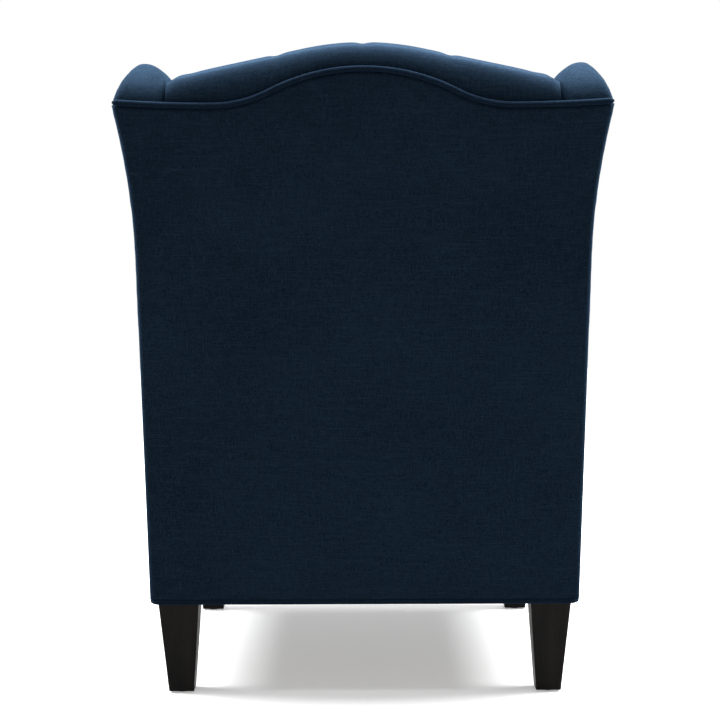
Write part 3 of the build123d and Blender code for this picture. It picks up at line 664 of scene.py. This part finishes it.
# each column: under edge, face, front round, top, rear round, down to the piping, back inside the frame
def makeBackPad(p):
    s = np.linspace(-1, 1, p["columns"])
    x = p["edge"] * np.sign(s) * (1 - (1 - np.abs(s)) ** p["bunch"])
    low = float(slopeOf(p["bottom"], p["flat"]))
    rim = easeStep(np.abs(x), p["edge"] - p["sideRound"], p["edge"]) ** 2
    top = rollTop(x, p) - p["sideDrop"] * rim
    t = np.linspace(0, 1, p["faceSteps"])[:, None]
    v = low + t * (top - p["frontRound"] - low)
    lift = np.clip(1 - (v - low) / p["lowRound"], 0, 1)
    lowRound = 1 - np.sqrt(np.clip(1 - lift ** 2, 0, None))
    d = padFront(v, p) - p["lowRound"] * lowRound
    # beside an arm the pad's edge stays back in its slot
    z = originZ + v * leanC + d * leanS
    beside = 1 - easeStep(fromArm(x, z), p["armClear"], p["armClear"] + p["armStep"])
    d = d + tuftSwell(x, v, tuft) * (1 - lowRound)
    d = d - p["sideSink"] * rim * (1 - easeStep(v, top - p["sinkFrom"], top - p["sinkTo"]))
    d = d + (np.minimum(p["slot"], d) - d) * beside

    turn = np.linspace(0, math.pi / 2, p["roundSteps"])[1:, None]
    pleats = tuftSwell(x, np.full_like(x, tuftTop + p["pleatAbove"]), tuft)
    pleats = np.minimum(pleats - pleats.max(), 0) * p["topPleat"]
    roundV = top - p["frontRound"] + (p["frontRound"] + pleats) * np.sin(turn)
    roundD = d[-1] - p["frontRound"] * (1 - np.cos(turn))
    fade = np.linspace(1, p["pleatFade"], p["topSteps"] + p["roundSteps"])[: p["topSteps"] - 1, None]
    flatStart, flatEnd = d[-1] - p["frontRound"], p["rearRound"] + p["inside"]
    flatD = flatStart + np.linspace(0, 1, p["topSteps"])[1:, None] * (flatEnd - flatStart)
    flatV = top + pleats * fade
    backD = flatEnd - p["rearRound"] * np.sin(turn) + 0 * x
    backV = top - p["rearShare"] * (top - crestLine(x)) * (1 - np.cos(turn))
    backV = backV + p["rearPleat"] * pleats * np.cos(turn)
    seam = crestLine(x)[None] - p["seamTuck"]
    downV = backV[-1:] + np.linspace(0, 1, p["downSteps"])[1:, None] * (seam - backV[-1:])
    downD = np.full_like(downV, p["inside"])
    innerV = np.vstack([seam, np.full((1, len(x)), low)])
    innerD = np.full_like(innerV, p["hollow"])
    v = np.vstack([v, roundV, flatV, backV, downV, innerV])
    d = np.vstack([d, roundD, flatD, backD, downD, innerD])
    points = backPoint(x[None] + 0 * v, v, d)
    return facesOut(gridMesh("backPad", points.transpose(1, 0, 2), wrapV=True, capEnds=True))


finishSoft(makeBackPad(pad), "back", "back_pad")
print("back pad done")

# pull-down: the inside back's cloth carried on below the pad, behind the seat cushion
pullDown = dict(
    half=0.256, thick=0.002, across=40, along=24,
    route=((0.150, 0.062), (0.112, 0.036), (0.090, 0.002), (0.080, -0.040)),
)


# a Bezier curve of d and v, carried straight across
def makePullDown(p):
    t = np.linspace(0, 1, p["along"])
    weights = [math.comb(3, k) * t ** k * (1 - t) ** (3 - k) for k in range(4)]
    d = sum(w * point[0] for w, point in zip(weights, p["route"]))
    v = sum(w * point[1] for w, point in zip(weights, p["route"]))
    x = np.linspace(-p["half"], p["half"], p["across"])[:, None]
    points = backPoint(x + 0 * d, v, d)
    piece = gridMesh("pullDownCloth", points)
    solid = piece.modifiers.new("thickness", "SOLIDIFY")
    solid.thickness = p["thick"]
    shadeSmooth(piece)
    dress(piece, navyCloth)
    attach(piece, "back")


makePullDown(pullDown)
print("pull-down done")

# covered buttons: a low dome lathed round its own axis, pulled into each dimple, its cloth painted darker as shade
button = dict(radius=0.0125, height=0.0078, sunk=0.001, tip=0.0004, rings=6, sides=24)


def makeButtons(p):
    domes = []
    up = np.array([0, -leanC, leanS])
    turn = np.linspace(0, 2 * math.pi, p["sides"], endpoint=False)
    tilt = np.linspace(0, math.pi / 2, p["rings"])
    for x, v in buttonPlaces(tuft):
        seat = float(padFront(v, pad)) + float(tuftSwell(np.array(x), v, tuft)) - p["sunk"]
        radius = p["radius"] * np.cos(tilt)[:, None]
        radius[-1] = p["tip"]
        around = backPoint(x + radius * np.cos(turn), v + radius * np.sin(turn), seat)
        dome = around + (p["height"] * np.sin(tilt))[:, None, None] * up
        domes.append(gridMesh("button", dome, wrapV=True, capEnds=True))
    piece = joined(*domes)
    piece.name = "tuftButtons"
    shadeSmooth(facesOut(piece))
    dress(piece, weltClothPaintedShade)
    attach(piece, "back")
    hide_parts("tuft_buttons")


makeButtons(button)
print("buttons done")

# wings, arms and outside panels: softened from their solids
upholstery = dict(
    wing=dict(voxel=0.005, smooth=9, swell=0.0018, fill=0.85),
    arm=dict(voxel=0.005, smooth=8, swell=0.0015, fill=0.85),
    panel=dict(voxel=0.004, smooth=4, swell=0.0006, fill=1.0),
    front=dict(voxel=0.004, smooth=5, swell=0.0008, fill=1.0),
)
wingPuff = dict(push=0.0130, rise=0.070, near=0.030, far=0.120)


# stuffing above the piping: the rear slope of a wing pushed back by half a sine wave of its height
def puffWing(piece, p):
    x, v, d = toBack(coordsOf(piece))
    height = np.clip((v - crestLine(x)) / p["rise"], 0, 1)
    push = p["push"] * np.sin(math.pi * height) * (1 - easeStep(d, p["near"], p["far"]))
    setCoords(piece, backPoint(x, v, d - push))


for side in ("left", "right"):
    for kind, node, body in (
        ("wing", "wing_pad_", "back"), ("arm", "arm_pad_", "base"),
        ("panel", "outside_arm_", "base"), ("front", "arm_front_", "base"),
    ):
        p = upholstery[kind]
        piece = softCopy(node + side, kind + side.title(), p["voxel"], p["smooth"], p["swell"])
        if kind == "wing":
            puffWing(piece, wingPuff)
        finishSoft(piece, body, node + side, levels=1 if kind == "wing" else 0)
print("wings and arms done")

# seat cushion and footrest pad: boxes blown up a little, kept clear of what they lie against
cushion = dict(
    voxel=0.006, smooth=6, pressure=4.0, cap=0.010, sideX=0.2665, underZ=0.3505, rearY=0.190,
    rearLift=0.013, liftY=(0.03, 0.14), liftZ=(0.40, 0.46), padLow=(0.180, 0.476), padRise=0.30, fill=0.75,
)
footPad = dict(voxel=0.005, smooth=4, pressure=3.0, cap=0.012, sideX=0.2640, backY=-0.3785, fill=0.85)


# a solid softened and blown up, and its points with the sides held in
def stuffed(node, name, p):
    piece = inflate(softCopy(node, name, p["voxel"], p["smooth"], 0.0), p["pressure"], p["cap"])
    co = coordsOf(piece)
    co[:, 0] = np.clip(co[:, 0], -p["sideX"], p["sideX"])
    return piece, co


def makeCushion(p):
    piece, co = stuffed("seat_cushion", "seatCushion", p)
    co[:, 1] = np.minimum(co[:, 1], p["rearY"])
    co[:, 2] = np.maximum(co[:, 2], p["underZ"])
    # the rear edge puffs up to the back pad, under its sloping lower end
    co[:, 2] += p["rearLift"] * easeStep(co[:, 1], *p["liftY"]) * easeStep(co[:, 2], *p["liftZ"])
    lowY, lowZ = p["padLow"]
    co[:, 2] = np.minimum(co[:, 2], lowZ + p["padRise"] * (lowY - co[:, 1]))
    setCoords(piece, co)
    return finishSoft(piece, "seat", "seat_cushion")


def makeFootPad(p):
    piece, co = stuffed("footrest_pad", "footrestPad", p)
    co[:, 1] = np.minimum(co[:, 1], p["backY"])
    setCoords(piece, co)
    finishSoft(piece, "footrest", "footrest_pad")


seatPiece = makeCushion(cushion)
makeFootPad(footPad)
print("seat and footrest done")

# apron: the front rail's cloth, tacked under the cushion and folded down over the side rails' ends
apron = dict(tucked=0.016, drop=0.0265, clear=0.0012, thick=0.0012, across=24, fold=5)


def makeApron(p):
    (x0, y0, _), (x1, _, z1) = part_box("seat_side_rails")
    turn = np.linspace(0, math.pi / 2, p["fold"])
    y = np.r_[y0 + p["tucked"], y0 - p["clear"] * np.sin(turn), y0 - p["clear"]]
    z = np.r_[z1 + p["clear"], z1 + p["clear"] * np.cos(turn), z1 - p["drop"]]
    x = np.linspace(x0, x1, p["across"])[:, None]
    piece = gridMesh("seatApron", np.stack(np.broadcast_arrays(x, y, z), -1))
    solid = piece.modifiers.new("thickness", "SOLIDIFY")
    solid.thickness = p["thick"]
    solid.offset = 0
    dress(piece, navyCloth)
    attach(piece, "seat")


makeApron(apron)
print("apron done")

# piping of the loose cushion and the arm fronts, in the same cord as the rear, its cloth painted darker as shade
piping = dict(
    radius=0.0036, sink=0.0004, sideX=0.2652, step=0.008, top=0.4555, under=0.368,
    points=400, square=12, passes=6,
    armInset=0.0028, armFace=-0.4128, armLow=0.152, armFlare=0.0035, armSteps=14,
)


# a rounded rectangle round the cushion, pulled onto its cloth
def cushionLoop(piece, z, p):
    low, high = (np.array(c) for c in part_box("seat_cushion"))
    middle, reach = (low + high) / 2, (high - low) / 2
    turn = np.linspace(0, 2 * math.pi, p["points"], endpoint=False)
    across, along = np.cos(turn), np.sin(turn)
    bulge = (np.abs(across) ** p["square"] + np.abs(along) ** p["square"]) ** (-1 / p["square"])
    x, y = middle[0] + bulge * across * reach[0], middle[1] + bulge * along * reach[1]
    surface = BVHTree.FromObject(piece, bpy.context.evaluated_depsgraph_get())
    hits = [surface.find_nearest(Vector((a, b, z))) for a, b in zip(x, y)]
    path = np.array([hit[0] - p["sink"] * hit[1] for hit in hits])
    for _ in range(p["passes"]):
        path = (np.roll(path, 1, 0) + 2 * path + np.roll(path, -1, 0)) / 4
    path[:, 0] = np.clip(path[:, 0], -p["sideX"], p["sideX"])
    return resample(path, p["step"], closed=True)


# up the inside of an arm's front, over its rounded top and down the outside
def armLoop(way, p):
    inner, outer = chair["armInside"] + p["armInset"], float(halfWidth(chair["armTop"])) - p["armInset"]
    height, bend = chair["armTop"] - p["armInset"], chair["armRound"]
    turn = np.linspace(0, math.pi / 2, p["armSteps"])
    rise, fall = bend * (1 - np.cos(turn)), bend * (1 - np.sin(turn))
    x = np.r_[inner, inner + rise, outer - fall, outer - p["armFlare"]]
    z = np.r_[p["armLow"], height - fall, height - rise, p["armLow"]]
    return resample(np.stack([way * x, np.full_like(x, p["armFace"]), z], -1), p["step"])


def makePiping(p):
    for name, path, body in (
        ("cushionPipingTop", cushionLoop(seatPiece, p["top"], p), "seat"),
        ("cushionPipingUnder", cushionLoop(seatPiece, p["under"], p), "seat"),
        ("armPipingLeft", armLoop(1, p), "base"),
        ("armPipingRight", armLoop(-1, p), "base"),
    ):
        cord = tube(name, path, p["radius"], closed=body == "seat")
        dress(cord, weltClothPaintedShade)
        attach(cord, body)


makePiping(piping)
print("piping done")

# carried-over frame and mechanism pieces take their finish from the record's slot
finishes = dict(
    navy_cloth=navyCloth, welt_cloth=weltClothPaintedShade, dark_wood=espresso, frame_wood=rawWood,
    mechanism_steel=blackSteel, webbing=webCloth, glide_plastic=glidePlastic,
)
for row in frame["record"]["subparts"]:
    finish = finishes[row["material_slot"]]
    mesh = nodes[row["node"]].data
    mesh.materials.clear()
    mesh.materials.append(finish)
print("frame pieces finished")

# studio: white floor that keeps the shadow, white sky for the camera, soft light from above and ahead
studio = dict(
    sky=0.178, keySize=2.8, keyPower=150, keyPlace=(-0.3, -0.9, 3.2), keyAim=(0, 0, 0.6),
    topSize=2.0, topPower=70, topPlace=(0, 0.15, 3.0), topAim=(0, 0.15, 0),
    sideSize=1.2, sidePower=148, sidePlace=(2.1, -0.2, 2.2), sideAim=(0.3, 0.25, 0.9),
)
floorLook = dict(
    half=6.0, rough=0.6, shade=(0.22, 0.22, 0.22, 1), white=(0.86, 0.865, 0.87, 1),
    near=0.38, far=1.0, start=1.0, end=2.4,
)


# 1 for rays that show a thing, 0 for those that only light others
def seenRays(tree):
    rays = tree.nodes.new("ShaderNodeLightPath")
    kinds = ("Is Camera Ray", "Is Glossy Ray", "Is Transmission Ray")
    return largest(tree, [rays.outputs[kind] for kind in kinds])


def makeFloor(p):
    ends = np.array([-p["half"], p["half"]])
    x, y = np.meshgrid(ends, ends, indexing="ij")
    floor = gridMesh("floor", np.stack([x, y, 0 * x], -1))
    material, tree, shader = newMaterial("paleFloor")
    shader.inputs["Roughness"].default_value = p["rough"]
    seen = seenRays(tree)
    tree.links.new(mixColour(tree, seen, p["shade"], p["white"]), shader.inputs["Base Color"])
    shader.inputs["Emission Color"].default_value = (1, 1, 1, 1)
    where = tree.nodes.new("ShaderNodeTexCoord")
    reach = addNode(tree, "ShaderNodeVectorMath", operation="LENGTH")
    tree.links.new(where.outputs["Object"], reach.inputs[0])
    glow = addNode(tree, "ShaderNodeMapRange")
    for key, value in (("From Min", "start"), ("From Max", "end"), ("To Min", "near"), ("To Max", "far")):
        glow.inputs[key].default_value = p[value]
    tree.links.new(reach.outputs["Value"], glow.inputs["Value"])
    tree.links.new(mathNode(tree, "MULTIPLY", seen, glow.outputs[0]), shader.inputs["Emission Strength"])
    floor.data.materials.append(material)


def makeWorld(p):
    world = bpy.data.worlds.new("whiteRoom")
    scene.world = world
    world.use_nodes = True
    tree = world.node_tree
    tree.nodes.clear()
    out = tree.nodes.new("ShaderNodeOutputWorld")
    sky = tree.nodes.new("ShaderNodeBackground")
    sky.inputs["Color"].default_value = (1, 1, 1, 1)
    strength = mathNode(tree, "ADD", mathNode(tree, "MULTIPLY", seenRays(tree), 1 - p["sky"]), p["sky"])
    tree.links.new(strength, sky.inputs["Strength"])
    tree.links.new(sky.outputs[0], out.inputs[0])


def makeLamp(name, place, aim, size, power):
    lamp = bpy.data.lights.new(name, "AREA")
    lamp.size = size
    lamp.energy = power
    piece = bpy.data.objects.new(name, lamp)
    piece.location = place
    piece.rotation_euler = (Vector(aim) - Vector(place)).to_track_quat("-Z", "Y").to_euler()
    scene.collection.objects.link(piece)


makeFloor(floorLook)
makeWorld(studio)
for name in ("key", "top"):
    makeLamp(name + "Lamp", *(studio[name + part] for part in ("Place", "Aim", "Size", "Power")))
for way in (-1, 1):
    place, aim = ((way * x, y, z) for x, y, z in (studio["sidePlace"], studio["sideAim"]))
    makeLamp("sideLamp", place, aim, studio["sideSize"], studio["sidePower"])

# camera: straight from behind, level with the back's middle, tipped a little down
view = dict(place=(0.0052, 2.951, 0.7436), pitch=4.46, roll=0.22, lens=85.3)


def makeCamera(p):
    lens = bpy.data.cameras.new("photoView")
    lens.lens = p["lens"]
    lens.sensor_width = 36
    camera = bpy.data.objects.new("photoView", lens)
    camera.location = p["place"]
    camera.rotation_euler = (math.radians(90 - p["pitch"]), math.radians(p["roll"]), math.radians(180))
    scene.collection.objects.link(camera)
    scene.camera = camera


makeCamera(view)
scene.view_settings.view_transform = "Standard"
print("studio and camera done")
